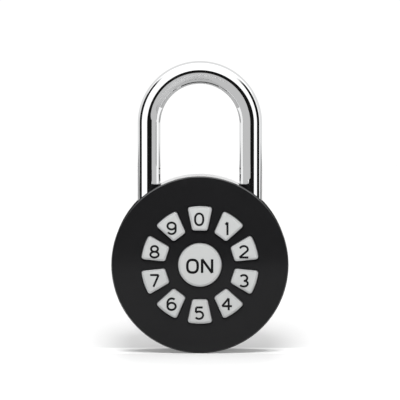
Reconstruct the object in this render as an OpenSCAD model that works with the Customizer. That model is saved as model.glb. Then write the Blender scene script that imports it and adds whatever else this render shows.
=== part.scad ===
// Round keypad padlock: a black case with ten wedge keys and a start key,
// a round-bar shackle, and the battery, board, motor and latch inside it.
// X runs to the right, Y from the face to the back, Z up. Millimetres.
// The origin is the underside of the shackle's crown, where the lock hangs.
// Positions in the modules count from the middle of the round body.

/* [Body] */
// Diameter of the round body
body_d = 54; // [48:1:62]
// Depth of the body from face to back
body_depth = 24; // [24:0.5:30]
// Thickness of the round wall
wall = 2; // [1.6:0.1:3]
// Thickness of the plate that holds the keys
face_thick = 2.2; // [1.8:0.1:3]
// Width of the narrow chamfer on the face's edge
edge_chamfer = 0.35; // [0.1:0.05:1]
// Width of the polished saddle between the shackle's legs
saddle_w = 23.8; // [18:0.2:24]

/* [Shackle] */
// Diameter of the shackle's bar
bar_d = 7; // [6:0.5:8]
// Distance between the centres of the two legs
leg_span = 31.2; // [29:0.2:34]
// Height of the bow's centre over the body's centre
bow_centre = 42.9; // [34:0.1:70]
// Lift that frees the short leg
lift = 16; // [15:0.5:16]

/* [Keys] */
// Distance from the centre to a digit key's inner edge
key_in = 10.5; // [9.5:0.1:11.5]
// Distance from the centre to a digit key's outer edge
key_out = 17.9; // [16:0.1:18.6]
// Half of the angle between a digit key's sides
key_half = 12.2; // [10:0.1:13]
// Corner radius of a digit key
key_corner = 0.8; // [0.4:0.1:1.5]
// Height of the keys over the face
key_proud = 1.1; // [0.6:0.1:1.6]
// Radius of the round start key
start_r = 6.6; // [6:0.1:7.4]
// Gap round each key
key_gap = 0.2; // [0.1:0.05:0.35]
// Travel of a pressed key
key_travel = 0.6; // [0.3:0.1:0.6]

/* [Battery] */
// Diameter of the coin cell
cell_d = 24.5; // [20:0.5:24.5]
// Thickness of the coin cell
cell_h = 5; // [3.2:0.1:5]
// Height of the cell's centre relative to the body's centre
cell_z = -4.5; // [-5:0.1:-4]

/* [Latch] */
// Travel of the latch bolt
throw = 2.2; // [1.8:0.1:2.2]
// Height of the bolt's middle over the body's centre
bolt_z = 15; // [14.5:0.1:15.2]
// Teeth on the motor's pinion
teeth = 10; // [10:1:10]
// Module of the pinion and the rack
gear_m = 0.4; // [0.4:0.05:0.4]

/* [Colours] */
// Case and covers
black = "#161618";
// Key tops
silver = "#b4b6b8";
// Polished steel
steel = "#c9cbce";
// Cast frame
cast = "#9a9c9f";
// Rubber
rubber = "#2a2a2c";
// Circuit board
board_green = "#1f5c3a";
// Brass and contacts
brass = "#c8a24a";

/* [Hidden] */
fine = 96;
body_r = body_d / 2;
inner_r = body_r - wall;
face_y = -body_depth / 2;
back_y = body_depth / 2;
plate_y = face_y + face_thick;
seam_y = back_y - 4;
cover_y = seam_y + 0.3;
cover_in = back_y - 2.4;
bar_r = bar_d / 2;
leg_x = leg_span / 2;
hang = bow_centre + leg_x - bar_r;
frame_r = inner_r - 0.4;
frame_front = -4.9;
frame_back = 4;
board_front = plate_y + 3.4;
board_back = board_front + 1;
mat_front = plate_y + 1.7;
flange_front = plate_y + 0.05;
flange_back = plate_y + 1;
key_top = face_y - key_proud;
toe_end = bolt_z - 5;
heel_end = -6;
neck_top = bolt_z - 0.5;
pin_z = neck_top - 1.5;
pin_r = 0.9;
neck_r = bar_r - 1;
motor_r = 3;
pitch_r = teeth * gear_m / 2;
tooth_pitch = PI * gear_m;
saddle_t = 1.1;
cap_r = 14.8;
plug_r = 13.4;
screw_at = [[6.9, 21.2], [-6.9, 21.2], [10.5, -19.7], [-10.5, -19.7]];
post_at = [[22, 0], [0, 22], [-22, 0], [0, -22]];
stud_at = [[15.4, 15.4], [-15.4, 15.4], [15.4, -15.4], [-15.4, -15.4]];

// ---- shared shapes ----

// moves the body's coordinates so that the origin is the shackle's seat
module hung() {
    translate([0, 0, -hang])
    children();
}

// a flat outline in X and Z, given depth from front to back
module slab(front, back) {
    translate([0, back, 0])
    rotate([90, 0, 0])
    linear_extrude(height = back - front)
    children();
}

// an outline in radius and depth, turned about the body's axis
module turned() {
    rotate([-90, 0, 0])
    rotate_extrude($fn = fine)
    children();
}

// a round bar along Y at a place in X and Z
module rod(at, r, front, back) {
    translate([at[0], front, at[1]])
    rotate([-90, 0, 0])
    cylinder(r = r, h = back - front, $fn = fine);
}

function arc(c, r, a, b, n) = [for (i = [0 : n]) c + r * [cos(a + (b - a) * i / n), sin(a + (b - a) * i / n)]];

// outline of a wedge key that points up, moved outwards by grow
function wedge(grow) =
    let (c = key_corner,
         r = key_corner + grow,
         lean = key_half - asin(c / (key_out - c)),
         far = (key_out - c) * [sin(lean), cos(lean)],
         low = key_in + c,
         near = [(low * sin(key_half) - c) / cos(key_half), low])
    concat(arc(near, r, -90, -key_half, 5),
           arc(far, r, -key_half, 90 - lean, 5),
           arc([0, 0], key_out + grow, 90 - lean, 90 + lean, 10),
           arc([-far[0], far[1]], r, 90 + lean, 180 + key_half, 5),
           arc([-near[0], near[1]], r, 180 + key_half, 270, 5));

module wedge_at(number, grow) {
    rotate(-36 * number)
    polygon(wedge(grow));
}

// ---- case ----

module saddle_zone(gap) {
    translate([-saddle_w / 2 - gap, -50, 0])
    cube([saddle_w + 2 * gap, 100, 60]);
}

module saddle_recess() {
    intersection() {
        turned()
        polygon([[body_r - saddle_t - 0.1, face_y + 0.6], [body_r + 1, face_y + 0.6],
                 [body_r + 1, back_y - 0.4], [body_r - saddle_t - 0.1, back_y - 0.4]]);
        saddle_zone(0.1);
    }
}

module leg_holes(r) {
    for (side = [-1, 1])
    translate([side * leg_x, 0, bolt_z - 1])
    cylinder(r = r, h = 20, $fn = fine);
}

module front_case() {
    color(black)
    hung()
    difference() {
        union() {
            difference() {
                turned()
                polygon([[0, face_y], [body_r - edge_chamfer, face_y],
                         [body_r, face_y + edge_chamfer], [body_r, seam_y], [0, seam_y]]);
                slab(plate_y, seam_y + 1)
                circle(r = inner_r, $fn = fine);
            }
            intersection() {
                union() {
                    for (at = screw_at)
                    rod(at, 2.8, plate_y - 0.5, seam_y);
                    for (at = post_at)
                    rod(at, 2.1, plate_y - 0.5, frame_front - 0.1);
                    for (at = stud_at)
                    rod(at, 1.5, plate_y - 0.5, board_front);
                }
                slab(plate_y - 1, seam_y)
                circle(r = inner_r + 0.5, $fn = fine);
            }
        }
        for (number = [0 : 9])
        slab(face_y - 1, plate_y + 1)
        wedge_at(number, key_gap);
        slab(face_y - 1, plate_y + 1)
        circle(r = start_r + key_gap, $fn = fine);
        for (at = screw_at)
        rod(at, 1.05, 2, seam_y + 1);
        for (at = post_at)
        rod(at, 0.95, plate_y + 0.5, frame_front);
        for (at = stud_at)
        rod(at, 0.72, plate_y + 0.6, board_front + 1);
        leg_holes(bar_r + 0.25);
        saddle_recess();
        for (y = [-6, 4])
        translate([0, y, inner_r - 1])
        cylinder(r = 0.85, h = wall, $fn = fine);
    }
}

module rear_cover() {
    color(black)
    hung()
    difference() {
        union() {
            turned()
            polygon([[0, cover_in], [inner_r, cover_in], [inner_r, cover_y],
                     [body_r, cover_y], [body_r, back_y - 0.6],
                     [body_r - 0.6, back_y], [0, back_y]]);
            difference() {
                slab(seam_y - 1, cover_in + 0.5)
                circle(r = inner_r - 0.15, $fn = fine);
                slab(seam_y - 2, cover_in + 1)
                circle(r = inner_r - 1.25, $fn = fine);
                for (at = screw_at)
                rod(at, 3, seam_y - 2, cover_in);
            }
            intersection() {
                for (at = screw_at)
                rod(at, 2.8, seam_y + 0.1, cover_in + 0.5);
                slab(seam_y, back_y)
                circle(r = inner_r - 0.15, $fn = fine);
            }
        }
        rod([0, cell_z], plug_r + 0.2, seam_y, back_y + 1);
        rod([0, cell_z], cap_r + 0.2, back_y - 1.1, back_y + 1);
        for (at = screw_at) {
            rod(at, 1.15, seam_y - 1, back_y);
            rod(at, 2.15, back_y - 1.4, back_y + 1);
        }
        saddle_recess();
    }
}

module top_saddle() {
    color(steel)
    hung()
    union() {
        intersection() {
            turned()
            polygon([[body_r - saddle_t, face_y + 0.7], [body_r - 0.15, face_y + 0.7],
                     [body_r, face_y + 0.85], [body_r, back_y - 0.65],
                     [body_r - 0.15, back_y - 0.5], [body_r - saddle_t, back_y - 0.5]]);
            saddle_zone(0);
        }
        for (y = [-6, 4])
        translate([0, y, inner_r - 0.3])
        cylinder(r = 0.8, h = wall - saddle_t + 0.8, $fn = fine);
    }
}

module case_gasket() {
    color(rubber)
    hung()
    difference() {
        slab(seam_y, cover_y)
        circle(r = body_r - 0.6, $fn = fine);
        slab(seam_y - 1, cover_y + 1)
        circle(r = inner_r + 0.15, $fn = fine);
        translate([-saddle_w / 2 - 0.1, seam_y - 1, body_r - saddle_t - 0.3])
        cube([saddle_w + 0.2, 3, 5]);
        saddle_recess();
    }
}

// a screw along Y with its head at the back and a six-sided socket
module screw(at, head_r, head_h, shank_r, tip, head_back) {
    difference() {
        union() {
            rod(at, head_r, head_back - head_h, head_back);
            rod(at, shank_r, tip, head_back - head_h + 0.1);
        }
        translate([at[0], head_back - head_h * 0.6, at[1]])
        rotate([-90, 0, 0])
        cylinder(r = head_r * 0.55, h = head_h, $fn = 6);
    }
}

module case_screws() {
    color(steel)
    hung()
    for (at = screw_at)
    screw(at, 2, 1.2, 1, 3, back_y - 0.2);
}

// ---- shackle ----

module shackle() {
    color(steel)
    hung()
    difference() {
        union() {
            translate([0, 0, bow_centre])
            rotate([90, 0, 0])
            rotate_extrude(angle = 180, $fn = fine)
            translate([leg_x, 0])
            circle(r = bar_r, $fn = fine);
            translate([-leg_x, 0, neck_top])
            cylinder(r = bar_r, h = bow_centre - neck_top, $fn = fine);
            translate([-leg_x, 0, heel_end + 1])
            cylinder(r = neck_r, h = neck_top - heel_end, $fn = fine);
            translate([-leg_x, 0, heel_end + 0.4])
            cylinder(r = bar_r, h = 1.1, $fn = fine);
            translate([-leg_x, 0, heel_end])
            cylinder(r1 = bar_r - 0.4, r2 = bar_r, h = 0.4, $fn = fine);
            translate([leg_x, 0, toe_end + 0.6])
            cylinder(r = bar_r, h = bow_centre - toe_end - 0.6, $fn = fine);
            translate([leg_x, 0, toe_end])
            cylinder(r1 = bar_r - 0.6, r2 = bar_r, h = 0.6, $fn = fine);
        }
        translate([leg_x - bar_r - 1, -bar_r - 1, bolt_z - 1.9])
        cube([3.4, 2 * bar_r + 2, 3.8]);
    }
}

module retainer_pin() {
    color(steel)
    hung()
    rod([-leg_x + bar_r, pin_z], pin_r, frame_front + 0.6, frame_back);
}

// compression spring: one wire swept round a helix
module shackle_spring() {
    turns = 6;
    steps = 18;
    ring = 8;
    wire = 0.4;
    coil = 2.7;
    low = spring_low + wire;
    rise = heel_end - 0.05 - wire - low;
    count = turns * steps;
    points = [for (i = [0 : count]) for (k = [0 : ring - 1])
              let (a = 360 * i / steps, b = 360 * k / ring, r = coil + wire * cos(b))
              [r * cos(a), r * sin(a), low + rise * i / count + wire * sin(b)]];
    sides = [for (i = [0 : count - 1]) for (k = [0 : ring - 1])
             [i * ring + k, (i + 1) * ring + k,
              (i + 1) * ring + (k + 1) % ring, i * ring + (k + 1) % ring]];
    first = [[for (k = [0 : ring - 1]) k]];
    last = [[for (k = [ring - 1 : -1 : 0]) count * ring + k]];
    color(steel)
    hung()
    translate([-leg_x, 0, 0])
    polyhedron(points = points, faces = concat(sides, first, last), convexity = 10);
}

spring_low = -15.2;

module spring_seat() {
    color(brass)
    hung()
    translate([-leg_x, 0, spring_low - 0.75])
    difference() {
        cylinder(r = 3.35, h = 0.7, $fn = fine);
        translate([0, 0, -1])
        cylinder(r = 1.2, h = 3, $fn = fine);
    }
}

// ---- keys ----

module digit_key(number) {
    color(silver)
    hung()
    union() {
        slab(key_top, key_top + 0.35)
        wedge_at(number, -0.25);
        slab(key_top + 0.3, flange_front + 0.1)
        wedge_at(number, 0);
        slab(flange_front, flange_back)
        wedge_at(number, 0.7);
    }
}

module key_0() {
    digit_key(0);
}

module key_1() {
    digit_key(1);
}

module key_2() {
    digit_key(2);
}

module key_3() {
    digit_key(3);
}

module key_4() {
    digit_key(4);
}

module key_5() {
    digit_key(5);
}

module key_6() {
    digit_key(6);
}

module key_7() {
    digit_key(7);
}

module key_8() {
    digit_key(8);
}

module key_9() {
    digit_key(9);
}

module key_start() {
    color(silver)
    hung()
    turned()
    polygon([[0, key_top], [start_r - 0.35, key_top], [start_r, key_top + 0.35],
             [start_r, flange_front], [start_r + 0.7, flange_front],
             [start_r + 0.7, flange_back], [0, flange_back]]);
}

function key_middles() =
    concat([[0, 0]], [for (i = [0 : 9]) 14.6 * [sin(36 * i), cos(36 * i)]]);

module keypad_mat() {
    color(rubber)
    hung()
    difference() {
        slab(mat_front, board_front)
        circle(r = 19.2, $fn = fine);
        for (at = key_middles())
        rod(at, 2.9, board_front - 0.55, board_front + 1);
        for (at = key_middles())
        difference() {
            rod(at, 3.4, mat_front - 1, mat_front + 0.35);
            rod(at, 2.2, mat_front - 2, mat_front + 1);
        }
    }
}

module snap_domes() {
    color(steel)
    hung()
    for (at = key_middles())
    translate([at[0], 0, at[1]])
    turned()
    polygon([[0, board_front - 0.45], [1.2, board_front - 0.4], [2.2, board_front - 0.2],
             [2.6, board_front], [2.4, board_front], [2.05, board_front - 0.1],
             [1.15, board_front - 0.28], [0, board_front - 0.33]]);
}

// ---- electronics ----

module circuit_board() {
    color(board_green)
    hung()
    difference() {
        slab(board_front, board_back)
        circle(r = inner_r - 0.7, $fn = fine);
        for (at = screw_at)
        rod(at, 3.1, board_front - 1, board_back + 1);
        for (at = post_at)
        rod(at, 2.6, board_front - 1, board_back + 1);
        for (at = stud_at)
        rod(at, 0.8, board_front - 1, board_back + 1);
    }
}

module chip(x, z, wide, high, thick) {
    translate([x - wide / 2, board_back, z - high / 2])
    cube([wide, thick, high]);
}

module main_chip() {
    color("#202124")
    hung()
    union() {
        chip(-4.6, -12.6, 6, 6, 0.9);
        for (i = [-2.2, -1.1, 0, 1.1, 2.2]) {
            chip(-4.6 + i, -12.6, 0.4, 7, 0.2);
            chip(-4.6, -12.6 + i, 7, 0.4, 0.2);
        }
    }
}

module board_parts() {
    color("#b7a27a")
    hung()
    for (at = [[-8.6, -7.8], [-6.4, -7.8], [-6.8, -17.2], [-4.4, -17.2], [-2, -17.2],
               [0.4, -17.2], [2.8, -17.9], [0.4, -10.4], [8.9, -7.8]])
    chip(at[0], at[1], 1.5, 0.8, 0.7);
}

module buzzer() {
    color("#303236")
    hung()
    difference() {
        rod([5.2, -12.8], 3.8, board_back, board_back + 1.9);
        rod([5.2, -12.8], 0.6, board_back + 0.9, board_back + 3);
    }
}

module board_screws() {
    color(brass)
    hung()
    for (at = stud_at)
    screw(at, 1.3, 0.42, 0.7, plate_y + 0.8, board_back + 0.42);
}

module motor_leads() {
    color("#b03028")
    hung()
    for (side = [-1, 1])
    translate([side * 1.1, 0, 0]) {
        translate([0, -0.6, -7])
        cylinder(r = 0.35, h = 2.45, $fn = fine);
        translate([0, -1.6, -7])
        rotate([0, 90, 0])
        rotate_extrude(angle = 90, $fn = fine)
        translate([1, 0])
        circle(r = 0.35, $fn = fine);
        rod([0, -8], 0.35, board_back, -1.6);
    }
}

// ---- lock frame ----

module leg_bores() {
    translate([-leg_x, 0, spring_low - 0.8])
    cylinder(r = bar_r + 0.05, h = 60, $fn = fine);
    translate([leg_x, 0, toe_end - 0.8])
    cylinder(r = bar_r + 0.05, h = 60, $fn = fine);
}

// a pocket open to the back for a part of radius r standing on the body's axis
module drop_pocket(r, low, high) {
    translate([0, 0, low])
    cylinder(r = r, h = high - low, $fn = fine);
    translate([-r, 0, low])
    cube([2 * r, 20, high - low]);
}

module lock_frame() {
    color(cast)
    hung()
    difference() {
        slab(frame_front, frame_back)
        circle(r = frame_r, $fn = fine);
        for (at = screw_at)
        rod(at, 3, -10, 10);
        for (at = post_at) {
            rod(at, 1, -10, 10);
            rod(at, 1.95, frame_back - 1.2, 10);
        }
        leg_bores();
        drop_pocket(motor_r + 0.05, -4.7, 11.7);
        drop_pocket(1, 11, 14);
        drop_pocket(pitch_r + 0.55, bolt_z - 1.8, bolt_z + 1.8);
        translate([3.6, -2.05, bolt_z - 1.65])
        cube([leg_x - 3.6, 20, 3.3]);
        translate([-7.4, 1.4, bolt_z - 1.65])
        cube([14, 20, 3.3]);
        translate([-9.8, frame_front - 1, -19])
        cube([19.8, 3.3, 12.6]);
        translate([-2.2, frame_front - 1, -10])
        cube([4.4, 6.4, 5.6]);
        rod([-leg_x + bar_r, pin_z], pin_r + 0.02, frame_front + 0.5, 10);
        for (x = [-10, 9])
        rod([x, 10.1], 0.75, 0, 10);
        rod([-5.5, -20.6], 0.6, -10, 10);
        rod([15.2, cell_z], 0.6, -10, 10);
    }
}

module frame_screws() {
    color(steel)
    hung()
    for (at = post_at)
    screw(at, 1.8, 1.15, 0.9, plate_y + 0.8, frame_back - 0.02);
}

module bolt_cover() {
    color(steel)
    hung()
    difference() {
        slab(frame_back, frame_back + 0.6)
        difference() {
            translate([-14.2, 8.9])
            square([25.4, 9.6]);
            for (at = screw_at)
            translate(at)
            circle(r = 3, $fn = fine);
        }
        for (x = [-10, 9])
        rod([x, 10.1], 0.85, 0, 10);
    }
}

module cover_screws() {
    color(steel)
    hung()
    for (x = [-10, 9])
    screw([x, 10.1], 1.2, 0.7, 0.72, 1, frame_back + 1.3);
}

// ---- motor and latch ----

module motor_can() {
    color(steel)
    hung()
    union() {
        translate([0, 0, -4.2])
        cylinder(r = motor_r, h = 8.7, $fn = fine);
        translate([0, 0, -4.55])
        cylinder(r = motor_r - 0.6, h = 1, $fn = fine);
    }
}

module motor_gearbox() {
    color(brass)
    hung()
    difference() {
        union() {
            translate([0, 0, 4.5])
            cylinder(r = motor_r, h = 7, $fn = fine);
            translate([0, 0, 11.4])
            cylinder(r = 0.95, h = 0.8, $fn = fine);
        }
        translate([0, 0, 9])
        cylinder(r = 0.65, h = 5, $fn = fine);
    }
}

// half widths of a tooth at its root, its pitch line and its tip
tooth_root = 0.38;
tooth_mid = 0.25;
tooth_tip = 0.12;
addendum = 0.3;
dedendum = 0.42;

module pinion() {
    color(brass)
    hung()
    union() {
        translate([0, 0, 9.1])
        cylinder(r = 0.6, h = bolt_z + 1.7 - 9.1, $fn = fine);
        translate([0, 0, bolt_z - 1.6])
        linear_extrude(height = 3.2)
        union() {
            circle(r = pitch_r - dedendum, $fn = fine);
            for (i = [0 : teeth - 1])
            rotate(90 + 360 * i / teeth)
            polygon([[pitch_r - dedendum - 0.2, -tooth_root], [pitch_r - dedendum, -tooth_root],
                     [pitch_r, -tooth_mid], [pitch_r + addendum, -tooth_tip],
                     [pitch_r + addendum, tooth_tip], [pitch_r, tooth_mid],
                     [pitch_r - dedendum, tooth_root], [pitch_r - dedendum - 0.2, tooth_root]]);
        }
    }
}

module latch_bolt() {
    tip_x = leg_x - bar_r - 0.1;
    back = pitch_r + dedendum;
    color(steel)
    hung()
    translate([0, 0, bolt_z - 1.6])
    linear_extrude(height = 3.2)
    union() {
        polygon([[4.2, -2], [tip_x - 0.6, -2], [tip_x, -1.4], [tip_x, 1.4], [tip_x - 0.6, 2],
                 [tip_x - 1.2, 3.6], [4.2, 3.6]]);
        translate([-5, back])
        square([10, 3.6 - back]);
        for (i = [-3 : 2])
        translate([(i + 0.5) * tooth_pitch, 0])
        polygon([[-tooth_root, back + 0.2], [-tooth_root, back], [-tooth_mid, pitch_r],
                 [-tooth_tip, pitch_r - addendum], [tooth_tip, pitch_r - addendum],
                 [tooth_mid, pitch_r], [tooth_root, back], [tooth_root, back + 0.2]]);
    }
}

// ---- battery ----

module battery() {
    color(steel)
    hung()
    translate([0, 0, cell_z])
    turned()
    polygon([[0, frame_back + 0.4], [cell_d / 2 - 1.6, frame_back + 0.4],
             [cell_d / 2 - 1.6, frame_back + 0.7], [cell_d / 2 - 0.4, frame_back + 0.7],
             [cell_d / 2, frame_back + 1.1], [cell_d / 2, frame_back + 0.2 + cell_h],
             [cell_d / 2 - 0.2, frame_back + 0.4 + cell_h], [0, frame_back + 0.4 + cell_h]]);
}

module battery_tray() {
    color("#3a3c40")
    hung()
    difference() {
        rod([0, cell_z], plug_r, frame_back + 0.02, cover_in - 0.1);
        rod([0, cell_z], cell_d / 2 + 0.2, frame_back + 0.35, back_y);
        rod([0, cell_z], 9, 0, back_y);
        translate([-6.7, frame_back - 1, -30])
        cube([2.4, 1.4, 22]);
        translate([8, frame_back - 1, cell_z - 2.2])
        cube([10, 10, 4.4]);
    }
}

module contact_minus() {
    color(brass)
    hung()
    union() {
        translate([-6.4, frame_back + 0.02, -21.4])
        cube([1.8, 0.3, 14.4]);
        rod([-5.5, -20.6], 0.4, board_back, frame_back + 0.2);
        rod([-4.6, -7.6], 2.4, frame_back + 0.02, frame_back + 0.38);
    }
}

module contact_plus() {
    color(brass)
    hung()
    union() {
        translate([cell_d / 2 + 0.02, frame_back + 0.02, cell_z - 2])
        cube([0.3, cell_h - 0.6, 4]);
        translate([cell_d / 2 + 0.02, frame_back + 0.02, cell_z - 2])
        cube([3.6, 0.3, 4]);
        rod([15.2, cell_z], 0.4, board_back, frame_back + 0.2);
    }
}

module battery_cap() {
    color(black)
    hung()
    translate([0, 0, cell_z])
    difference() {
        turned()
        polygon([[0, cover_in - 0.1], [plug_r, cover_in - 0.1], [plug_r, cover_in + 0.1],
                 [plug_r - 0.9, cover_in + 0.1], [plug_r - 0.9, cover_in + 1.1],
                 [plug_r, cover_in + 1.1], [plug_r, back_y - 1], [cap_r, back_y - 1],
                 [cap_r, back_y - 0.3], [cap_r - 0.3, back_y], [0, back_y]]);
        slab(back_y - 1.1, back_y + 1)
        union() {
            square([18, 2.2], center = true);
            for (side = [-1, 1])
            translate([side * 9, 0])
            circle(r = 1.1, $fn = fine);
        }
    }
}

module cap_seal() {
    color(rubber)
    hung()
    translate([0, 0, cell_z])
    turned()
    translate([plug_r - 0.38, cover_in + 0.6])
    circle(r = 0.45, $fn = fine);
}

// ---- what is shown ----

front_case();
rear_cover();
top_saddle();
case_gasket();
case_screws();
shackle();
retainer_pin();
shackle_spring();
spring_seat();
key_0();
key_1();
key_2();
key_3();
key_4();
key_5();
key_6();
key_7();
key_8();
key_9();
key_start();
keypad_mat();
snap_domes();
circuit_board();
main_chip();
board_parts();
buzzer();
board_screws();
lock_frame();
frame_screws();
motor_can();
motor_gearbox();
pinion();
motor_leads();
latch_bolt();
bolt_cover();
cover_screws();
battery();
battery_tray();
contact_minus();
contact_plus();
battery_cap();
cap_seal();
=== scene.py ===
"""Looks of the round keypad padlock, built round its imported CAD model.

X runs to the right, Y from the keypad to the back cover, Z up, in metres. The origin is the
underside of the shackle's crown. Sizes are given in millimetres and multiplied by MM.
"""
import math

import bmesh
import bpy
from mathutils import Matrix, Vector


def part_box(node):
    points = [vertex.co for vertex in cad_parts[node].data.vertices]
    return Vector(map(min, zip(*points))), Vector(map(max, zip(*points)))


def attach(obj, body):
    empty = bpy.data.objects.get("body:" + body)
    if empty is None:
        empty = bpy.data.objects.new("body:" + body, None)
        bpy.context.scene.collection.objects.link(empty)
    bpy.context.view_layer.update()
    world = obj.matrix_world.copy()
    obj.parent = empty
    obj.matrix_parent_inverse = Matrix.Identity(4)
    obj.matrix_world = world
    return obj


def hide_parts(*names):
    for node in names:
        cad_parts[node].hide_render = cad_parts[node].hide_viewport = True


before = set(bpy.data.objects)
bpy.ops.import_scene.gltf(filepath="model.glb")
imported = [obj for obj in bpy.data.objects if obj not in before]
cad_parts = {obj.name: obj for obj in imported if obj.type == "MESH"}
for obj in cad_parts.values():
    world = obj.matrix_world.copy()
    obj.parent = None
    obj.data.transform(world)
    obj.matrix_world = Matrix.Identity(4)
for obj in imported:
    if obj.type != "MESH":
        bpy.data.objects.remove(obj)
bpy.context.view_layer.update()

MM = 0.001

# ---- places and sizes that the pieces share, read from the CAD nodes ----

case_low, case_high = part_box("front_case")
CENTRE_X = (case_low.x + case_high.x) / 2
CENTRE_Z = (case_low.z + case_high.z) / 2
BODY_R = (case_high.x - case_low.x) / 2
FACE_Y = case_low.y
BACK_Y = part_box("rear_cover")[1].y
KEY_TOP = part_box("key_0")[0].y
FLANGE_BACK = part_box("key_0")[1].y
FLANGE_DEEP, FLANGE_WIDE = 0.95 * MM, 0.7 * MM
FLANGE_FRONT = FLANGE_BACK - FLANGE_DEEP
START_R = (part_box("key_start")[1].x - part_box("key_start")[0].x) / 2 - FLANGE_WIDE
shackle_low, shackle_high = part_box("shackle")
BAR_R = (shackle_high.y - shackle_low.y) / 2
LEG_X = (shackle_high.x - shackle_low.x) / 2 - BAR_R
BOW_Z = shackle_high.z - LEG_X - BAR_R
HEEL_END = shackle_low.z
BOLT_Z = (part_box("latch_bolt")[0].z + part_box("latch_bolt")[1].z) / 2

# a key's inner and outer distance from the middle, the middle of its fan and its half angle
KEY_IN, KEY_OUT, KEY_MIDDLE = 10.5 * MM, 17.9 * MM, 14.6 * MM
KEY_HALF = math.radians(12.2)
KEY_STEP = math.radians(36)
# its corners, its rounded edge, the sloping border with its fall, and the face's own depth
KEY_CORNER = 0.8 * MM
KEY_ROUND = 0.24 * MM
KEY_SLOPE = 0.5 * MM
KEY_DROP = 0.12 * MM
CROWN_Y = 0.07 * MM


def at(x, y, z):
    """A point of the body, counted from the middle of its face circle, in the part's frame."""
    return Vector((CENTRE_X + x, y, CENTRE_Z + z))


# ---- node helpers ----

def add(tree, kind, values=(), **settings):
    """A new node with its settings, and its inputs set by name or linked from a socket."""
    made = tree.nodes.new(kind)
    for name, value in settings.items():
        setattr(made, name, value)
    for name, value in dict(values).items():
        socket = made.inputs[name]
        if isinstance(value, bpy.types.NodeSocket):
            tree.links.new(value, socket)
        else:
            socket.default_value = value
    return made


def math_node(tree, operation, first, second=0.0, clamp=False):
    return add(tree, "ShaderNodeMath", {0: first, 1: second}, operation=operation,
               use_clamp=clamp).outputs[0]


def new_group(name, inputs, outputs, kind="ShaderNodeTree"):
    """A node group with named sockets: (name, type, default) for each input."""
    group = bpy.data.node_groups.new(name, kind)
    for label, socket, default in inputs:
        made = group.interface.new_socket(label, in_out="INPUT", socket_type=socket)
        if default is not None:
            made.default_value = default
    for label, socket in outputs:
        group.interface.new_socket(label, in_out="OUTPUT", socket_type=socket)
    entry = group.nodes.new("NodeGroupInput")
    leave = group.nodes.new("NodeGroupOutput")
    return group, entry, leave


FLOAT, VECTOR = "NodeSocketFloat", "NodeSocketVector"


def grain_group():
    """Fine moulded or cast grain: a height turned into a normal, and a roughness that wanders."""
    group, entry, leave = new_group(
        "Surface grain",
        [("Grain Size", FLOAT, 1500.0), ("Grain Height", FLOAT, 0.1), ("Roughness", FLOAT, 0.3),
         ("Wander", FLOAT, 0.08), ("Smear Size", FLOAT, 120.0)],
        [("Normal", VECTOR), ("Roughness", FLOAT), ("Mask", FLOAT)])
    place = add(group, "ShaderNodeTexCoord").outputs["Object"]
    fine = add(group, "ShaderNodeTexNoise", {"Vector": place, "Scale": entry.outputs["Grain Size"],
                                             "Detail": 3.0, "Roughness": 0.6})
    broad = add(group, "ShaderNodeTexNoise", {"Vector": place, "Scale": entry.outputs["Smear Size"],
                                              "Detail": 4.0, "Roughness": 0.55})
    bump = add(group, "ShaderNodeBump", {"Strength": entry.outputs["Grain Height"],
                                         "Distance": 0.00006, "Height": fine.outputs["Fac"]})
    swing = math_node(group, "SUBTRACT", broad.outputs["Fac"], 0.5)
    swing = math_node(group, "MULTIPLY", swing, entry.outputs["Wander"])
    rough = math_node(group, "ADD", entry.outputs["Roughness"], swing, clamp=True)
    group.links.new(bump.outputs["Normal"], leave.inputs["Normal"])
    group.links.new(rough, leave.inputs["Roughness"])
    group.links.new(broad.outputs["Fac"], leave.inputs["Mask"])
    return group


def hairline_group():
    """Polishing lines that follow one axis, as a roughness and a faint normal."""
    group, entry, leave = new_group(
        "Polish lines",
        [("Stretch", VECTOR, (300.0, 300.0, 9000.0)), ("Roughness", FLOAT, 0.06),
         ("Spread", FLOAT, 0.03), ("Depth", FLOAT, 0.02)],
        [("Normal", VECTOR), ("Roughness", FLOAT)])
    place = add(group, "ShaderNodeTexCoord").outputs["Object"]
    scaled = add(group, "ShaderNodeVectorMath", {0: place, 1: entry.outputs["Stretch"]},
                 operation="MULTIPLY").outputs[0]
    lines = add(group, "ShaderNodeTexNoise", {"Vector": scaled, "Scale": 1.0, "Detail": 2.0,
                                              "Roughness": 0.5})
    bump = add(group, "ShaderNodeBump", {"Strength": entry.outputs["Depth"],
                                         "Distance": 0.00002, "Height": lines.outputs["Fac"]})
    spread = math_node(group, "MULTIPLY", lines.outputs["Fac"], entry.outputs["Spread"])
    rough = math_node(group, "ADD", entry.outputs["Roughness"], spread, clamp=True)
    group.links.new(bump.outputs["Normal"], leave.inputs["Normal"])
    group.links.new(rough, leave.inputs["Roughness"])
    return group


GRAIN = grain_group()
POLISH = hairline_group()


def new_material(name, colour, **sockets):
    """A material with its Principled shader; sockets that are the same all over are set on it."""
    made = bpy.data.materials.new(name)
    made.use_nodes = True
    shader = made.node_tree.nodes["Principled BSDF"]
    shader.inputs["Base Color"].default_value = (*colour, 1.0)
    for label, value in sockets.items():
        shader.inputs[label.replace("_", " ")].default_value = value
    return made, made.node_tree, shader


def surface(tree, shader, kind, values):
    """Puts a shared surface group on a shader, with its inputs set, and returns its node."""
    group = add(tree, "ShaderNodeGroup", node_tree=kind)
    for label, value in values.items():
        group.inputs[label].default_value = value
    for label in ("Roughness", "Normal"):
        tree.links.new(group.outputs[label], shader.inputs[label])
    return group


def two_tone(tree, shader, factor, first, second):
    """Blends two base colours by a factor socket."""
    mix = add(tree, "ShaderNodeMix", {"Factor": factor}, data_type="RGBA")
    mix.inputs["A"].default_value = (*first, 1.0)
    mix.inputs["B"].default_value = (*second, 1.0)
    tree.links.new(mix.outputs["Result"], shader.inputs["Base Color"])


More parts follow.
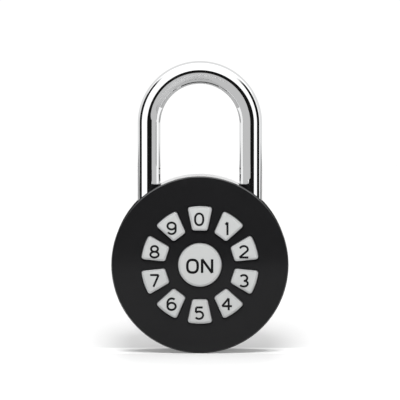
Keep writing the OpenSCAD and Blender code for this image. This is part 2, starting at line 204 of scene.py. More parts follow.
def grained(name, colour, rough, wander=0.08, size=1500.0, height=0.1, smear=120.0, tint=0.12,
            **sockets):
    """Moulded, cast or painted stuff: grain in the normal, wandering gloss and a faint mottle."""
    made, tree, shader = new_material(name, colour, **sockets)
    group = surface(tree, shader, GRAIN, {"Grain Size": size, "Grain Height": height,
                                          "Roughness": rough, "Wander": wander,
                                          "Smear Size": smear})
    light = [min(1.0, c * (1 + tint)) for c in colour]
    dark = [c * (1 - tint) for c in colour]
    two_tone(tree, shader, group.outputs["Mask"], dark, light)
    return made


def key_silver_with_painted_shade(name, face, bevel):
    """Satin silver lacquer, with painted shade that darkens the sloping border below the face."""
    made, tree, shader = new_material(name, face, Metallic=0.1, Coat_Weight=0.08,
                                      Coat_Roughness=0.25)
    surface(tree, shader, GRAIN, {"Grain Size": 5200.0, "Grain Height": 0.04, "Roughness": 0.4,
                                  "Wander": 0.06, "Smear Size": 260.0})
    place = add(tree, "ShaderNodeTexCoord").outputs["Object"]
    depth = add(tree, "ShaderNodeSeparateXYZ", {0: place}).outputs["Y"]
    # painted shade: the colour turns from the face colour to the darker bevel colour where the
    # border falls away
    low = add(tree, "ShaderNodeMapRange", {"Value": depth, "From Min": KEY_TOP + 0.08 * MM,
                                           "From Max": KEY_TOP + 0.12 * MM})
    two_tone(tree, shader, low.outputs[0], face, bevel)
    return made


def polished(name, colour, rough, stretch, spread, depth):
    """Bare metal with polishing or turning lines."""
    made, tree, shader = new_material(name, colour, Metallic=1.0)
    surface(tree, shader, POLISH, {"Stretch": stretch, "Roughness": rough, "Spread": spread,
                                   "Depth": depth})
    return made


CASE_BLACK = grained("case black", (0.0094, 0.0094, 0.0099), 0.03, wander=0.03, size=2600.0,
                     height=0.003, smear=60.0, tint=0.15, Specular_IOR_Level=0.19)
RIM_BLACK = grained("rim bevel", (0.12, 0.12, 0.122), 0.3, wander=0.08, size=2600.0, height=0.03,
                    smear=90.0, tint=0.1, Metallic=1.0)
WALL_BLACK = grained("wall black", (0.0025, 0.0025, 0.0028), 0.62, wander=0.1, size=2400.0,
                     height=0.2, smear=90.0, tint=0.15, Specular_IOR_Level=0.01)
CAP_BLACK = grained("cap black", (0.012, 0.012, 0.0125), 0.42, wander=0.1, size=3200.0,
                    height=0.25, smear=90.0, tint=0.15)
CHROME = polished("shackle chrome", (0.9, 0.905, 0.91), 0.015,
                  stretch=(250.0, 250.0, 5200.0), spread=0.02, depth=0.002)
SADDLE = polished("saddle steel", (0.76, 0.765, 0.77), 0.05,
                  stretch=(5200.0, 180.0, 300.0), spread=0.05, depth=0.02)
# the second colour is painted shade on the keys' sloping borders
KEY_SILVER = key_silver_with_painted_shade("key silver with painted shade", (0.436, 0.443, 0.44), (0.345, 0.35, 0.35))
INK = grained("legend ink", (0.003, 0.003, 0.0034), 0.5, size=4200.0, height=0.1, tint=0.2,
              Specular_IOR_Level=0.15)
SCREW = polished("screw steel", (0.5, 0.51, 0.52), 0.22,
                 stretch=(1400.0, 5200.0, 1400.0), spread=0.18, depth=0.08)
SPRING = polished("spring steel", (0.42, 0.43, 0.45), 0.25,
                  stretch=(3000.0, 3000.0, 900.0), spread=0.15, depth=0.05)
BATTERY = polished("battery can", (0.66, 0.67, 0.68), 0.2,
                   stretch=(700.0, 4200.0, 5200.0), spread=0.12, depth=0.05)
BRASS = polished("brass", (0.66, 0.46, 0.17), 0.24,
                 stretch=(3600.0, 3600.0, 700.0), spread=0.16, depth=0.05)
RUBBER = grained("rubber", (0.016, 0.016, 0.017), 0.72, size=2400.0, height=0.3)
CAST = grained("cast frame", (0.4, 0.41, 0.42), 0.45, wander=0.2, size=900.0, height=0.5,
               smear=220.0, tint=0.1, Metallic=1.0)
BOARD = grained("board green", (0.01, 0.1, 0.045), 0.32, wander=0.15, size=1400.0, height=0.15,
                smear=700.0, tint=0.35)
CHIP = grained("chip black", (0.018, 0.018, 0.02), 0.5, size=5200.0, height=0.2)
CERAMIC = grained("small parts", (0.42, 0.32, 0.18), 0.4, size=3200.0, height=0.1, smear=900.0,
                  tint=0.4)
LEAD = grained("lead insulation", (0.4, 0.02, 0.015), 0.4, size=2200.0, height=0.1)
TRAY = grained("tray plastic", (0.03, 0.031, 0.033), 0.45, size=1800.0, height=0.2)

NODE_FINISH = {
    "front_case": CASE_BLACK, "rear_cover": CAP_BLACK, "battery_cap": CAP_BLACK,
    "top_saddle": SADDLE, "case_gasket": RUBBER, "keypad_mat": RUBBER, "cap_seal": RUBBER,
    "retainer_pin": SCREW, "spring_seat": BRASS, "snap_domes": BATTERY, "circuit_board": BOARD,
    "main_chip": CHIP, "board_parts": CERAMIC, "buzzer": CHIP, "board_screws": SCREW,
    "lock_frame": CAST, "frame_screws": SCREW, "motor_can": BATTERY, "motor_gearbox": BRASS,
    "pinion": BRASS, "motor_leads": LEAD, "latch_bolt": SCREW, "bolt_cover": SCREW,
    "cover_screws": SCREW, "battery": BATTERY, "battery_tray": TRAY, "contact_minus": BRASS,
    "contact_plus": BRASS,
}
for node, finish in NODE_FINISH.items():
    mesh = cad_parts[node].data
    mesh.materials.clear()
    mesh.materials.append(finish)


# ---- mesh helpers ----

def finish_mesh(name, bm, material, sharp=35.0):
    """Turns a bmesh into a piece at the origin with outward faces and crisp edges."""
    bmesh.ops.remove_doubles(bm, verts=bm.verts, dist=1e-7)
    bmesh.ops.recalc_face_normals(bm, faces=bm.faces)
    mesh = bpy.data.meshes.new(name)
    bm.to_mesh(mesh)
    bm.free()
    piece = bpy.data.objects.new(name, mesh)
    bpy.context.scene.collection.objects.link(piece)
    mesh.materials.append(material)
    mesh.shade_smooth()
    mesh.set_sharp_from_angle(angle=math.radians(sharp))
    return piece


def loft(bm, rings):
    """Joins rings of equal count into a skin. A ring of one point closes it in a fan."""
    made = [[bm.verts.new(p) for p in ring] for ring in rings]
    for low, high in zip(made, made[1:]):
        count = max(len(low), len(high))
        for i in range(count):
            j = (i + 1) % count
            corners = [low[i % len(low)], low[j % len(low)],
                       high[j % len(high)], high[i % len(high)]]
            bm.faces.new(list(dict.fromkeys(corners)))


def arc(centre, radius, start, end, steps):
    """Points of a circular arc in a plane, from one angle to another."""
    return [(centre[0] + radius * math.cos(start + (end - start) * i / steps),
             centre[1] + radius * math.sin(start + (end - start) * i / steps))
            for i in range(steps + 1)]


# ---- case ----

RIM_WIDE = 1.2 * MM


def case_shell():
    """The front case again, with a glossy face, a lighter rim bevel and a dull wall and inside."""
    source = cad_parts["front_case"]
    mesh = source.data.copy()
    shell = bpy.data.objects.new("case_shell", mesh)
    bpy.context.scene.collection.objects.link(shell)
    mesh.materials.clear()
    for finish in (WALL_BLACK, CASE_BLACK, RIM_BLACK):
        mesh.materials.append(finish)
    for face in mesh.polygons:
        out = math.hypot(face.center.x - CENTRE_X, face.center.z - CENTRE_Z)
        level, slanted = face.normal.y < -0.95, face.normal.y < -0.3
        if slanted and not level and out > BODY_R - RIM_WIDE:
            face.material_index = 2
        elif slanted:
            face.material_index = 1
    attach(shell, "case")
    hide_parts("front_case")


case_shell()


# ---- keys ----

EDGE_STEPS, SLOPE_STEPS, ROUND_SIDES = 8, 6, 128


def wedge_outline(grow):
    """Outline of a wedge key that points up, moved outwards by grow, from the body's centre."""
    radius = KEY_CORNER + grow
    lean = KEY_HALF - math.asin(KEY_CORNER / (KEY_OUT - KEY_CORNER))
    far = ((KEY_OUT - KEY_CORNER) * math.sin(lean), (KEY_OUT - KEY_CORNER) * math.cos(lean))
    low = KEY_IN + KEY_CORNER
    near = ((low * math.sin(KEY_HALF) - KEY_CORNER) / math.cos(KEY_HALF), low)
    right = math.pi / 2
    return (arc(near, radius, -right, -KEY_HALF, 8)
            + arc(far, radius, -KEY_HALF, right - lean, 8)
            + arc((0, 0), KEY_OUT + grow, right - lean, right + lean, 16)[1:-1]
            + arc((-far[0], far[1]), radius, right + lean, math.pi + KEY_HALF, 8)
            + arc((-near[0], near[1]), radius, math.pi + KEY_HALF, math.pi * 1.5, 8))


def key_rings(outline, middle):
    """Rings of a keycap from its flange to the crown: outline(grow) gives a flat ring."""
    rings = [[(middle[0], middle[1], FLANGE_BACK)]]
    rings += [[(x, z, y) for x, z in outline(grow)] for grow, y in
              ((FLANGE_WIDE, FLANGE_BACK), (FLANGE_WIDE, FLANGE_FRONT), (0.0, FLANGE_FRONT))]
    face = KEY_TOP + CROWN_Y
    for i in range(EDGE_STEPS + 1):
        turn = math.pi / 2 * i / EDGE_STEPS
        rings.append([(x, z, face + KEY_DROP + KEY_ROUND * (1 - math.sin(turn)))
                      for x, z in outline(-KEY_ROUND * (1 - math.cos(turn)))])
    for i in range(1, SLOPE_STEPS + 1):
        rise = (1 + math.cos(math.pi * i / SLOPE_STEPS)) / 2
        rings.append([(x, z, face + KEY_DROP * rise)
                      for x, z in outline(-KEY_ROUND - KEY_SLOPE * i / SLOPE_STEPS)])
    rings.append([(middle[0], middle[1], face)])
    return rings


def keycap(name, outline, middle, turn):
    """One hard keycap on its body, standing for its CAD node."""
    cos, sin = math.cos(turn), math.sin(turn)
    bm = bmesh.new()
    loft(bm, [[at(x * cos + z * sin, y, z * cos - x * sin) for x, z, y in ring]
              for ring in key_rings(outline, middle)])
    cap = finish_mesh(name + "_cap", bm, KEY_SILVER, 50.0)
    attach(cap, name)
    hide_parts(name)


def round_outline(grow):
    """Outline of the round start key, moved outwards by grow."""
    last = ROUND_SIDES - 1
    return arc((0, 0), START_R + grow, 0.0, math.tau * last / ROUND_SIDES, last)


for number in range(10):
    keycap(f"key_{number}", wedge_outline, (0.0, KEY_MIDDLE), KEY_STEP * number)
keycap("key_start", round_outline, (0.0, 0.0), 0.0)


# ---- geometry node trees ----

def geometry_tree(name, inputs):
    """A geometry node group with its geometry in and out and the inputs given."""
    group, entry, leave = new_group(
        name, [("Geometry", "NodeSocketGeometry", None)] + inputs,
        [("Geometry", "NodeSocketGeometry")], "GeometryNodeTree")
    group.is_modifier = True
    return group, entry, leave


def close_tree(group, geometry, leave, material):
    """Ends a tree in Realize Instances and Set Material."""
    real = add(group, "GeometryNodeRealizeInstances", {"Geometry": geometry})
    painted = add(group, "GeometryNodeSetMaterial", {"Geometry": real.outputs[0],
                                                     "Material": material})
    group.links.new(painted.outputs[0], leave.inputs[0])


def run_tree(name, group, source, values, sharp):
    """Runs a tree on a source mesh and returns the result as a plain mesh piece."""
    carrier = bpy.data.objects.new(name, source)
    bpy.context.scene.collection.objects.link(carrier)
    modifier = carrier.modifiers.new("shape", "NODES")
    modifier.node_group = group
    for item in group.interface.items_tree:
        if item.in_out == "INPUT" and item.name in values:
            modifier[item.identifier] = values[item.name]
    seen = carrier.evaluated_get(bpy.context.evaluated_depsgraph_get())
    mesh = bpy.data.meshes.new_from_object(seen)
    carrier.modifiers.clear()
    carrier.data = mesh
    bpy.data.meshes.remove(source)
    mesh.name = name
    mesh.shade_smooth()
    mesh.set_sharp_from_angle(angle=math.radians(sharp))
    return carrier


def stroke_tree():
    """Printed strokes: a round section along each line, pressed flat on a plane across Y."""
    group, entry, leave = geometry_tree("Printed stroke", [
        ("Stroke Width", FLOAT, 0.5 * MM), ("Ink Height", FLOAT, 0.1 * MM),
        ("Surface Depth", FLOAT, 0.0), ("Ink", "NodeSocketMaterial", None)])
    half = math_node(group, "MULTIPLY", entry.outputs["Stroke Width"], 0.5)
    path = add(group, "GeometryNodeMeshToCurve", {"Mesh": entry.outputs[0]})
    section = add(group, "GeometryNodeCurvePrimitiveCircle", {"Resolution": 12, "Radius": half})
    band = add(group, "GeometryNodeCurveToMesh", {"Curve": path.outputs[0],
                                                  "Profile Curve": section.outputs[0],
                                                  "Fill Caps": True})
    ends = add(group, "GeometryNodeCurveEndpointSelection")
    dots = add(group, "GeometryNodeCurveToPoints", {"Curve": path.outputs[0]}, mode="EVALUATED")
    ball = add(group, "GeometryNodeMeshUVSphere", {"Segments": 14, "Rings": 8, "Radius": half})
    tips = add(group, "GeometryNodeInstanceOnPoints", {
        "Points": dots.outputs["Points"], "Instance": ball.outputs[0],
        "Selection": ends.outputs[0]})
    both = add(group, "GeometryNodeJoinGeometry")
    group.links.new(band.outputs[0], both.inputs[0])
    group.links.new(tips.outputs[0], both.inputs[0])
    solid = add(group, "GeometryNodeRealizeInstances", {"Geometry": both.outputs[0]})
    position = add(group, "GeometryNodeInputPosition").outputs[0]
    place = add(group, "ShaderNodeSeparateXYZ", {0: position})
    press = math_node(group, "DIVIDE", entry.outputs["Ink Height"], entry.outputs["Stroke Width"])
    offset = math_node(group, "SUBTRACT", place.outputs["Y"], entry.outputs["Surface Depth"])
    flat = math_node(group, "ADD", math_node(group, "MULTIPLY", offset, press),
                     entry.outputs["Surface Depth"])
    moved = add(group, "ShaderNodeCombineXYZ", {"X": place.outputs["X"], "Y": flat,
                                                "Z": place.outputs["Z"]})
    pressed = add(group, "GeometryNodeSetPosition", {"Geometry": solid.outputs[0],
                                                     "Position": moved.outputs[0]})
    close_tree(group, pressed.outputs[0], leave, entry.outputs["Ink"])
    return group


STROKE = stroke_tree()
SHARP_TURN = math.radians(32)
INK_HIGH = 0.14 * MM
LEGEND_Y = KEY_TOP + 0.07 * MM


def cut_at_corners(line):
    """Parts a line wherever it turns sharply, so that each part keeps its full width."""
    parts, start = [], 0
    for i in range(1, len(line) - 1):
        before = Vector(line[i]) - Vector(line[i - 1])
        after = Vector(line[i + 1]) - Vector(line[i])
        if before.angle(after) > SHARP_TURN:
            parts.append(line[start:i + 1])
            start = i
    return parts + [line[start:]]


def legend(name, lines, width, body):
    """Strokes through lists of (x, z) from the body's centre; a closed line ends on its start."""
    points, edges = [], []
    for line in [part for whole in lines for part in cut_at_corners(whole)]:
        closed = math.dist(line[0], line[-1]) < 1e-7
        ring = line[:-1] if closed else line
        first = len(points)
        points += [at(x, LEGEND_Y, z) for x, z in ring]
        edges += [(first + i, first + i + 1) for i in range(len(ring) - 1)]
        if closed:
            edges.append((len(points) - 1, first))
    source = bpy.data.meshes.new(name + "_lines")
    source.from_pydata(points, edges, [])
    piece = run_tree(name, STROKE, source, {"Stroke Width": width, "Ink Height": INK_HIGH,
                                            "Surface Depth": LEGEND_Y, "Ink": INK}, 60.0)
    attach(piece, body)


# ---- legends: strokes in a cell 1 high, with x from the cell's middle ----

def bend(x, z, rx, rz, start, end, steps=18):
    """Points of an elliptical arc, with angles in degrees from +x, counterclockwise."""
    return [(x + rx * math.cos(math.radians(start + (end - start) * i / steps)),
             z + rz * math.sin(math.radians(start + (end - start) * i / steps)))
            for i in range(steps + 1)]


def squared_oval(rx, rz, power, steps=48):
    """A closed oval with fuller corners than an ellipse, centred at half the height."""
    ring = []
    for i in range(steps + 1):
        a = math.tau * i / steps
        c, s = math.cos(a), math.sin(a)
        ring.append((rx * math.copysign(abs(c) ** (2 / power), c),
                     0.5 + rz * math.copysign(abs(s) ** (2 / power), s)))
    ring[-1] = ring[0]
    return ring


DIGITS = {
    0: [squared_oval(0.3, 0.5, 2.3)],
    1: [[(-0.1, 0.82), (0.05, 1.02), (0.05, -0.1)]],
    2: [bend(0.0, 0.71, 0.29, 0.29, 165, -25, 20) + [(-0.32, 0.0), (0.33, 0.0)]],
    3: [bend(-0.01, 0.74, 0.26, 0.26, 150, -90, 20) + bend(-0.01, 0.25, 0.3, 0.25, 70, -150, 20)],
    4: [[(0.14, -0.03), (0.14, 1.02), (-0.34, 0.33), (0.38, 0.33)]],
    5: [[(0.26, 1.0), (-0.22, 1.0), (-0.25, 0.56)] + bend(-0.01, 0.32, 0.3, 0.32, 125, -145, 22)],
    6: [bend(0.0, 0.31, 0.3, 0.31, 0, 360, 32),
        [(-0.3, 0.31)] + bend(0.02, 0.62, 0.32, 0.38, 180, 50, 18)],
    7: [[(-0.32, 1.0), (0.3, 1.0), (-0.08, -0.03)]],
    8: [bend(0.0, 0.75, 0.25, 0.25, 0, 360, 32), bend(0.0, 0.25, 0.3, 0.25, 0, 360, 32)],
    9: [bend(0.0, 0.7, 0.3, 0.3, 0, 360, 32),
        [(0.3, 0.7)] + bend(0.0, 0.32, 0.3, 0.32, 0, -150, 20)],
}
for ring in DIGITS[6] + DIGITS[8] + DIGITS[9]:
    if math.dist(ring[0], ring[-1]) < 1e-6:
        ring[-1] = ring[0]

DIGIT_HIGH, DIGIT_WIDE, DIGIT_STROKE = 3.48 * MM, 4.15 * MM, 0.64 * MM
DIGIT_RING = 14.3 * MM
LEGEND_DROP, LEGEND_LEFT = 0.36 * MM, 0.22 * MM
for number, lines in DIGITS.items():
    turn = KEY_STEP * number
    mid_x = DIGIT_RING * math.sin(turn) - LEGEND_LEFT
    mid_z = DIGIT_RING * math.cos(turn) - LEGEND_DROP
    legend(f"legend_{number}",
           [[(mid_x + x * DIGIT_WIDE, mid_z + (z - 0.5) * DIGIT_HIGH) for x, z in line]
            for line in lines], DIGIT_STROKE, f"key_{number}")

WORD_HIGH, WORD_STROKE, WORD_DROP = 3.87 * MM, 0.78 * MM, 0.34 * MM
letter_o = squared_oval(0.41, 0.5, 2.6)
letter_n = ((-0.393, -0.03), (-0.393, 1.05), (0.393, -0.03), (0.393, 1.05))
word = [[(x * WORD_HIGH + mid_x, (z - 0.5) * WORD_HIGH - WORD_DROP) for x, z in letter]
        for letter, mid_x in ((letter_o, -2.25 * MM), (letter_n, 2.19 * MM))]
legend("legend_start", word, WORD_STROKE, "key_start")


# ---- shackle ----

def shackle_piece():
    """The bar swept from the long leg's heel over the bow to the short leg's toe."""
    sides, bow_steps = 72, 96
    heel_chamfer, heel_high = 0.4 * MM, 1.5 * MM
    neck_r = BAR_R - 1 * MM
    neck_top = BOLT_Z - 0.5 * MM
    neck_low, neck_high, neck_step = HEEL_END + 4 * MM, neck_top - 0.8 * MM, 5 * MM
    leg_top = BOW_Z - 0.5 * MM
    toe_end, toe_chamfer = BOLT_Z - 5 * MM, 0.6 * MM
    notch_half, notch_wide, notch_deep = 1.9 * MM, 3.4 * MM, 12 * MM
    notch_x, notch_margin = LEG_X - BAR_R + 0.7 * MM, 0.3 * MM
    rings = []

    def leg_ring(x, z, radius, out):
        """A level ring that starts on the side away from the other leg."""
        rings.append([(x + radius * math.cos(math.tau * i / sides) * out,
                       radius * math.sin(math.tau * i / sides), z) for i in range(sides)])

    def spread(low, high, step=3 * MM):
        """Even heights from low to high, about a step apart."""
        count = max(1, round((high - low) / step))
        return [low + (high - low) * i / count for i in range(count + 1)]

    rings.append([(-LEG_X, 0.0, HEEL_END)])
    for z, radius in ((0.0, BAR_R - heel_chamfer), (heel_chamfer, BAR_R), (heel_high, BAR_R),
                      (heel_high, neck_r)):
        leg_ring(-LEG_X, HEEL_END + z, radius, -1)
    for z in spread(neck_low, neck_high, neck_step):
        leg_ring(-LEG_X, z, neck_r, -1)
    leg_ring(-LEG_X, neck_top, neck_r, -1)
    for z in spread(neck_top, leg_top):
        leg_ring(-LEG_X, z, BAR_R, -1)
    for k in range(bow_steps + 1):
        a = math.pi * (1 - k / bow_steps)
        rings.append([((LEG_X + BAR_R * math.cos(math.tau * i / sides)) * math.cos(a),
                       BAR_R * math.sin(math.tau * i / sides),
                       BOW_Z + (LEG_X + BAR_R * math.cos(math.tau * i / sides)) * math.sin(a))
                      for i in range(sides)])
    down = (spread(BOLT_Z + notch_half + notch_margin, leg_top)
            + [toe_end + toe_chamfer, BOLT_Z - notch_half - notch_margin])
    for z in sorted(down, reverse=True):
        leg_ring(LEG_X, z, BAR_R, 1)
    leg_ring(LEG_X, toe_end, BAR_R - toe_chamfer, 1)
    rings.append([(LEG_X, 0.0, toe_end)])
    bm = bmesh.new()
    loft(bm, [[Vector(p) for p in ring] for ring in rings])
    piece = finish_mesh("shackle_bar", bm, CHROME, 40.0)

    bm = bmesh.new()
    bmesh.ops.create_cube(bm, size=1.0)
    for v in bm.verts:
        v.co = Vector((notch_x + v.co.x * notch_wide, v.co.y * notch_deep,
                       BOLT_Z + v.co.z * 2 * notch_half))
    cutter = finish_mesh("notch_cutter", bm, CHROME)
    cut = piece.modifiers.new("notch", "BOOLEAN")
    cut.object = cutter
    cut.operation = "DIFFERENCE"
    cut.solver = "EXACT"
    seen = piece.evaluated_get(bpy.context.evaluated_depsgraph_get())
    mesh = bpy.data.meshes.new_from_object(seen)
    piece.modifiers.clear()
    piece.data = mesh
    bpy.data.objects.remove(cutter)
    mesh.set_sharp_from_angle(angle=math.radians(40.0))
    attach(piece, "shackle")
    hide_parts("shackle")


shackle_piece()


# ---- case screws and shackle spring ----

SCREW_SIZE = {"Head Radius": 2.0 * MM, "Head Height": 1.2 * MM, "Shank Radius": 1.0 * MM,
              "Length": 8.8 * MM}
SCREW_PLACES = ((6.9, 21.2), (-6.9, 21.2), (10.5, -19.7), (-10.5, -19.7))


def sized_inputs(sizes):
    """Number sockets named and preset by a table of sizes, and one for the material."""
    return ([(label, FLOAT, size) for label, size in sizes.items()]
            + [("Finish", "NodeSocketMaterial", None)])


def screw_tree():
    """A low head with a chamfer and a six-sided socket, with its shank, on every point."""
    group, entry, leave = geometry_tree("Socket screw", sized_inputs(SCREW_SIZE))
    radius, high = entry.outputs["Head Radius"], entry.outputs["Head Height"]
    chamfer = math_node(group, "MULTIPLY", high, 0.2)
    lower = math_node(group, "SUBTRACT", high, chamfer)

    def drum(r_top, r_low, depth, z, sides):
        """A cylinder or cone that stands up from z."""
        made = add(group, "GeometryNodeMeshCone", {"Vertices": sides, "Radius Top": r_top,
                                                   "Radius Bottom": r_low, "Depth": depth})
        place = add(group, "ShaderNodeCombineXYZ", {"Z": z})
        return add(group, "GeometryNodeTransform", {"Geometry": made.outputs[0],
                                                    "Translation": place.outputs[0]}).outputs[0]

    narrow = math_node(group, "SUBTRACT", radius, chamfer)
    total = entry.outputs["Length"]
    shank = drum(entry.outputs["Shank Radius"], entry.outputs["Shank Radius"],
                 math_node(group, "SUBTRACT", total, math_node(group, "MULTIPLY", high, 0.5)),
                 math_node(group, "MULTIPLY", total, -1.0), 32)
    head = drum(radius, radius, lower, math_node(group, "MULTIPLY", high, -1.0), 64)
    rim = drum(narrow, radius, chamfer, math_node(group, "MULTIPLY", chamfer, -1.0), 64)
    socket = drum(math_node(group, "MULTIPLY", radius, 0.55),
                  math_node(group, "MULTIPLY", radius, 0.52),
                  high, math_node(group, "MULTIPLY", high, -0.6), 6)
    whole = add(group, "GeometryNodeMeshBoolean", operation="UNION", solver="EXACT")
    for part in (head, rim, shank):
        group.links.new(part, whole.inputs["Mesh 2"])
    cut = add(group, "GeometryNodeMeshBoolean", operation="DIFFERENCE", solver="EXACT")
    group.links.new(whole.outputs[0], cut.inputs["Mesh 1"])
    group.links.new(socket, cut.inputs["Mesh 2"])
    points = add(group, "GeometryNodeMeshToPoints", {"Mesh": entry.outputs[0]})
    heads = add(group, "GeometryNodeInstanceOnPoints", {
        "Points": points.outputs[0], "Instance": cut.outputs[0],
        "Rotation": (-math.pi / 2, 0.0, 0.0)})
    close_tree(group, heads.outputs[0], leave, entry.outputs["Finish"])
    return group


def points_mesh(name, points):
    """A mesh of loose points for a tree to stand things on."""
    mesh = bpy.data.meshes.new(name)
    mesh.from_pydata(points, [], [])
    return mesh


def stand_in(piece, node):
    """Puts a piece on the case in place of a steel CAD node."""
    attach(piece, "case")
    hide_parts(node)


screw_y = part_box("case_screws")[1].y
heads = points_mesh("case_screw_points", [at(x * MM, screw_y, z * MM) for x, z in SCREW_PLACES])
stand_in(run_tree("case_screw_heads", screw_tree(), heads, {**SCREW_SIZE, "Finish": SCREW}, 30.0),
         "case_screws")

spring_low, spring_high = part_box("shackle_spring")
WIRE_R = 0.4 * MM
SPRING_SIZE = {"Turns": 6.0, "Coil Radius": 2.7 * MM, "Wire Radius": WIRE_R,
               "Height": spring_high.z - spring_low.z - 2 * WIRE_R}


def spring_tree():
    """A compression spring: a round wire along a helix."""
    group, entry, leave = geometry_tree("Coil spring", sized_inputs(SPRING_SIZE))
    helix = add(group, "GeometryNodeCurveSpiral", {
        "Resolution": 40, "Rotations": entry.outputs["Turns"],
        "Start Radius": entry.outputs["Coil Radius"], "End Radius": entry.outputs["Coil Radius"],
        "Height": entry.outputs["Height"]})
    section = add(group, "GeometryNodeCurvePrimitiveCircle", {
        "Resolution": 12, "Radius": entry.outputs["Wire Radius"]})
    wire = add(group, "GeometryNodeCurveToMesh", {"Curve": helix.outputs[0],
                                                  "Profile Curve": section.outputs[0],
                                                  "Fill Caps": True})
    points = add(group, "GeometryNodeMeshToPoints", {"Mesh": entry.outputs[0]})
    placed = add(group, "GeometryNodeInstanceOnPoints", {"Points": points.outputs[0],
                                                         "Instance": wire.outputs[0]})
    close_tree(group, placed.outputs[0], leave, entry.outputs["Finish"])
    return group


foot = points_mesh("spring_point", [(-LEG_X, 0.0, spring_low.z + WIRE_R)])
stand_in(run_tree("leg_spring", spring_tree(), foot, {**SPRING_SIZE, "Finish": SPRING}, 60.0),
         "shackle_spring")


# ---- floor, light and camera ----

WHITE = (1.0, 1.0, 1.0, 1.0)


def bare_tree(made):
    """The empty node tree of a new material or world."""
    made.use_nodes = True
    made.node_tree.nodes.clear()
    return made.node_tree


def grey(level):
    """A neutral colour."""
    return (level, level, level, 1.0)


def card(name, corners, glow):
    """A lighting card that only reflections see."""
    mesh = bpy.data.meshes.new(name)
    mesh.from_pydata(corners, [], [tuple(range(len(corners)))])
    sheet = bpy.data.objects.new(name, mesh)
    bpy.context.scene.collection.objects.link(sheet)
    made = bpy.data.materials.new(name)
    tree = bare_tree(made)
    light = add(tree, "ShaderNodeEmission", {"Color": WHITE, "Strength": glow})
    add(tree, "ShaderNodeOutputMaterial", {"Surface": light.outputs[0]})
    mesh.materials.append(made)
    sheet.visible_camera = False
    sheet.visible_diffuse = False
    sheet.visible_shadow = False
    sheet.visible_transmission = False


def table_white(name, painted_glow):
    """Table white, greyer in reflections as painted shade; its glow, seen by the camera only, is
    painted light.
    """
    made = bpy.data.materials.new(name)
    tree = bare_tree(made)
    direct = add(tree, "ShaderNodeBsdfDiffuse", {"Color": grey(0.7)})
    mirrored = add(tree, "ShaderNodeBsdfDiffuse", {"Color": grey(0.32)})
    path = add(tree, "ShaderNodeLightPath")
    mix = add(tree, "ShaderNodeMixShader", {0: path.outputs["Is Glossy Ray"],
                                            1: direct.outputs[0], 2: mirrored.outputs[0]})
    seen = math_node(tree, "MULTIPLY", path.outputs["Is Camera Ray"], painted_glow)
    glow = add(tree, "ShaderNodeEmission", {"Strength": seen})
    both = add(tree, "ShaderNodeAddShader", {0: mix.outputs[0], 1: glow.outputs[0]})
    add(tree, "ShaderNodeOutputMaterial", {"Surface": both.outputs[0]})
    return made


def floor():
    """The pale table: it falls away a little before the lock and rises a little behind it."""
    z = case_low.z - 0.05 * MM
    half_width, front, rear = 0.7, -0.25, 0.45
    fall, rise = math.radians(3.5), math.radians(5.5)
    profile = ((front, (front - FACE_Y) * math.tan(fall)), (FACE_Y, 0.0),
               (BACK_Y, 0.0), (rear, (rear - BACK_Y) * math.tan(rise)))
    mesh = bpy.data.meshes.new("table")
    mesh.from_pydata([(x, y, z + up) for y, up in profile for x in (-half_width, half_width)], [],
                     [(0, 1, 3, 2), (2, 3, 5, 4), (4, 5, 7, 6)])
    table = bpy.data.objects.new("table", mesh)
    bpy.context.scene.collection.objects.link(table)
    mesh.materials.append(table_white("table white", 0.0))
    # the strip under the lock gets painted light: a glow that only the camera sees, which lightens
    # the contact shadow
    mesh.materials.append(table_white("table white with painted light under the lock", 0.24))
    mesh.polygons[1].material_index = 1


def soft_box(name, rise, front, far, wide, watts):
    """A round soft box aimed at the lock, which lights it without showing in its polish."""
    lamp = bpy.data.lights.new(name, "AREA")
    lamp.shape = "DISK"
    lamp.size = wide
    lamp.energy = watts
    box = bpy.data.objects.new(name, lamp)
    bpy.context.scene.collection.objects.link(box)
    way = Vector((0.0, -front * math.cos(rise), math.sin(rise)))
    box.location = at(0, 0, -BODY_R) + way * far
    box.rotation_euler = way.to_track_quat("Z", "Y").to_euler()
    box.visible_glossy = False
    box.visible_camera = False


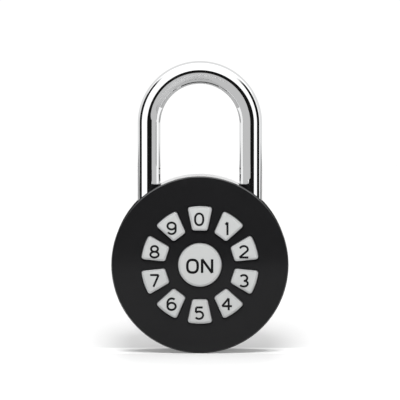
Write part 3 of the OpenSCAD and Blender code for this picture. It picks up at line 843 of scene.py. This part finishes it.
def studio():
    """White surroundings, dark behind the camera and in a gap beside each side light."""
    world = bpy.data.worlds.new("studio")
    bpy.context.scene.world = world
    tree = bare_tree(world)
    place = add(tree, "ShaderNodeTexCoord").outputs["Generated"]
    way = add(tree, "ShaderNodeSeparateXYZ", {0: place})
    forward = math_node(tree, "MULTIPLY", way.outputs["Y"], -1.0)
    turn = math_node(tree, "MULTIPLY", math_node(tree, "ARCTAN2", way.outputs["X"], forward),
                     math.degrees(1.0))
    rise = math_node(tree, "MULTIPLY", math_node(tree, "ARCSINE", way.outputs["Z"]),
                     math.degrees(1.0))

    def times(first, second):
        return math_node(tree, "MULTIPLY", first, second)

    def rest_of(value):
        return math_node(tree, "SUBTRACT", 1.0, value)

    def step(value, edge, soft):
        """0 below an angle and 1 above it, over a soft edge."""
        ramp = add(tree, "ShaderNodeMapRange", {"Value": value, "From Min": edge - soft,
                                                "From Max": edge + soft},
                   interpolation_type="SMOOTHSTEP")
        return ramp.outputs[0]

    def band(value, low, high, soft):
        return math_node(tree, "SUBTRACT", step(value, low, soft), step(value, high, soft))

    def blend(mask, level, under):
        """The level where the mask is 1, and what was there before elsewhere."""
        mix = add(tree, "ShaderNodeMix", {"Factor": mask, "A": under, "B": level},
                  data_type="FLOAT")
        return mix.outputs["Result"]

    # the dark zone round the camera: a half ellipse, so many degrees left, right and up
    zone_left, zone_right, zone_up = 20.0, 33.0, 24.0
    reach_x = times(turn, blend(step(turn, 0.0, 0.5), 1 / zone_right, 1 / zone_left))
    reach_z = math_node(tree, "DIVIDE", math_node(tree, "MAXIMUM", rise, 0.0), zone_up)
    reach = math_node(tree, "SQRT", math_node(tree, "ADD", times(reach_x, reach_x),
                                              times(reach_z, reach_z)))
    overhead = times(step(rise, 27.0, 2.5), rest_of(step(way.outputs["Y"], 0.42, 0.05)))
    low = rest_of(step(rise, 46.0, 8.0))
    ahead_below = times(step(forward, 0.0, 0.05), rest_of(step(rise, -3.1, 0.05)))

    level = 1.15
    for start, end in ((-181.0, -107.0), (107.0, 181.0)):
        level = blend(band(turn, start, end, 1.0), 0.8, level)
    level = blend(overhead, 1.3, level)
    for start, end in ((-110.0, -78.0), (65.0, 97.0)):
        level = blend(times(band(turn, start, end, 0.8), low), 0.01, level)
    level = blend(rest_of(step(reach, 1.0, 0.03)), 0.008, level)
    level = blend(ahead_below, 0.56, level)

    backdrop, diffuse_share = 1.05, 0.62
    path = add(tree, "ShaderNodeLightPath")
    shown = add(tree, "ShaderNodeBackground", {"Color": WHITE, "Strength": backdrop})
    lit = add(tree, "ShaderNodeBackground", {
        "Color": WHITE,
        "Strength": blend(path.outputs["Is Diffuse Ray"], times(level, diffuse_share), level)})
    mix = add(tree, "ShaderNodeMixShader", {0: path.outputs["Is Camera Ray"], 1: lit.outputs[0],
                                            2: shown.outputs[0]})
    add(tree, "ShaderNodeOutputWorld", {"Surface": mix.outputs[0]})


def camera():
    """Level with the keypad and a little above it, through a long lens."""
    far, tilt, focal_length = 1.39, math.radians(2.3), 410.9
    aim = at(0.03 * MM, FACE_Y, 19.79 * MM)
    lens = bpy.data.cameras.new("camera")
    lens.lens = focal_length
    lens.clip_start = 0.05
    seen = bpy.data.objects.new("camera", lens)
    bpy.context.scene.collection.objects.link(seen)
    seen.location = aim + Vector((0.0, -far * math.cos(tilt), far * math.sin(tilt)))
    seen.rotation_euler = (math.pi / 2 - tilt, 0.0, 0.0)
    bpy.context.scene.camera = seen


def cards():
    """Cards over the body and beside the legs, whose reflections shape the polished bar."""
    z_base, z_low, z_high = CENTRE_Z + 24.0 * MM, CENTRE_Z + 27.0 * MM, CENTRE_Z + 44.5 * MM
    near, kink, far = (-7.8 * MM, -4.2 * MM), (-4.3 * MM, -13 * MM), (11 * MM, -52 * MM)
    card("opening_card", [(*near, z_base), (*kink, z_base), (*kink, z_low), (*far, z_low),
                          (*far, z_high), (*near, z_high)], 0.56)
    lid_z = CENTRE_Z + 28.4 * MM
    for name, x, y_near, y_far, glow in (("lid_card", 10.5 * MM, -11 * MM, 5 * MM, 0.5),
                                         ("dark_card", 7 * MM, 5 * MM, 16 * MM, 0.06)):
        card(name, [(-x, y_near, lid_z), (x, y_near, lid_z), (x, y_far, lid_z),
                    (-x, y_far, lid_z)], glow)
    for name, low, high, ends, glow in (
            ("inner_card_left", 22.5, 47.5, ((-11.4, -2.9), (-11.4, -1.35)), 1.05),
            ("inner_card_right", 22.5, 47.5, ((11.4, -2.6), (11.4, -1.2)), 1.0),
            ("shin_card_left", 22.5, 29.0, ((-11.6, -9.0), (-11.6, -2.9)), 0.56),
            ("shin_card_right", 22.5, 29.0, ((11.6, -8.0), (11.6, -2.6)), 0.56),
            ("fore_card_right", 25.4, 29.5, ((11.6, -8.0), (13.5, -30.0)), 0.56)):
        card(name, [(x * MM, y * MM, CENTRE_Z + z * MM)
                    for (x, y), z in zip(ends + ends[::-1], (low, low, high, high))], glow)


floor()
studio()
camera()
soft_box("front_box", rise=math.radians(50), front=1, far=0.34, wide=0.2, watts=1.05)
soft_box("back_box", rise=math.radians(55), front=-1, far=0.9, wide=0.5, watts=4.6)
cards()
bpy.context.scene.view_settings.view_transform = "Standard"
